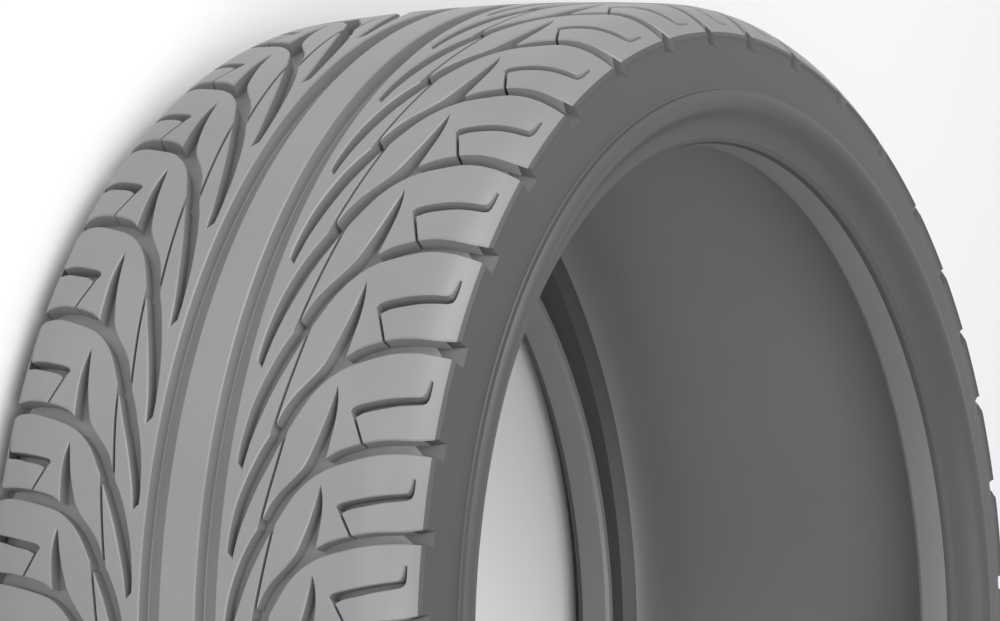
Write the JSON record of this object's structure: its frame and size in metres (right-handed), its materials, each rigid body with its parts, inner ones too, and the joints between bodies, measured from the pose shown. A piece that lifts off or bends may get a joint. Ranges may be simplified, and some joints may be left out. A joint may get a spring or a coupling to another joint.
{
  "type": "car tyre",
  "caption": "Wide low-profile car tyre with a directional tread of sweeping grooves and two main circumferential grooves, lying on its side.",
  "frame": {"origin": "centre of the tyre on its turning axis, at the middle plane of the tread", "axes": "+Z along the turning axis toward the outer sidewall, +X through the crown"},
  "size_m": [0.667, 0.6668, 0.2638],
  "materials": {
    "rubber": "matte"
  },
  "bodies": {
    "root": {"tyre": "rubber"}
  },
  "joints": []
}
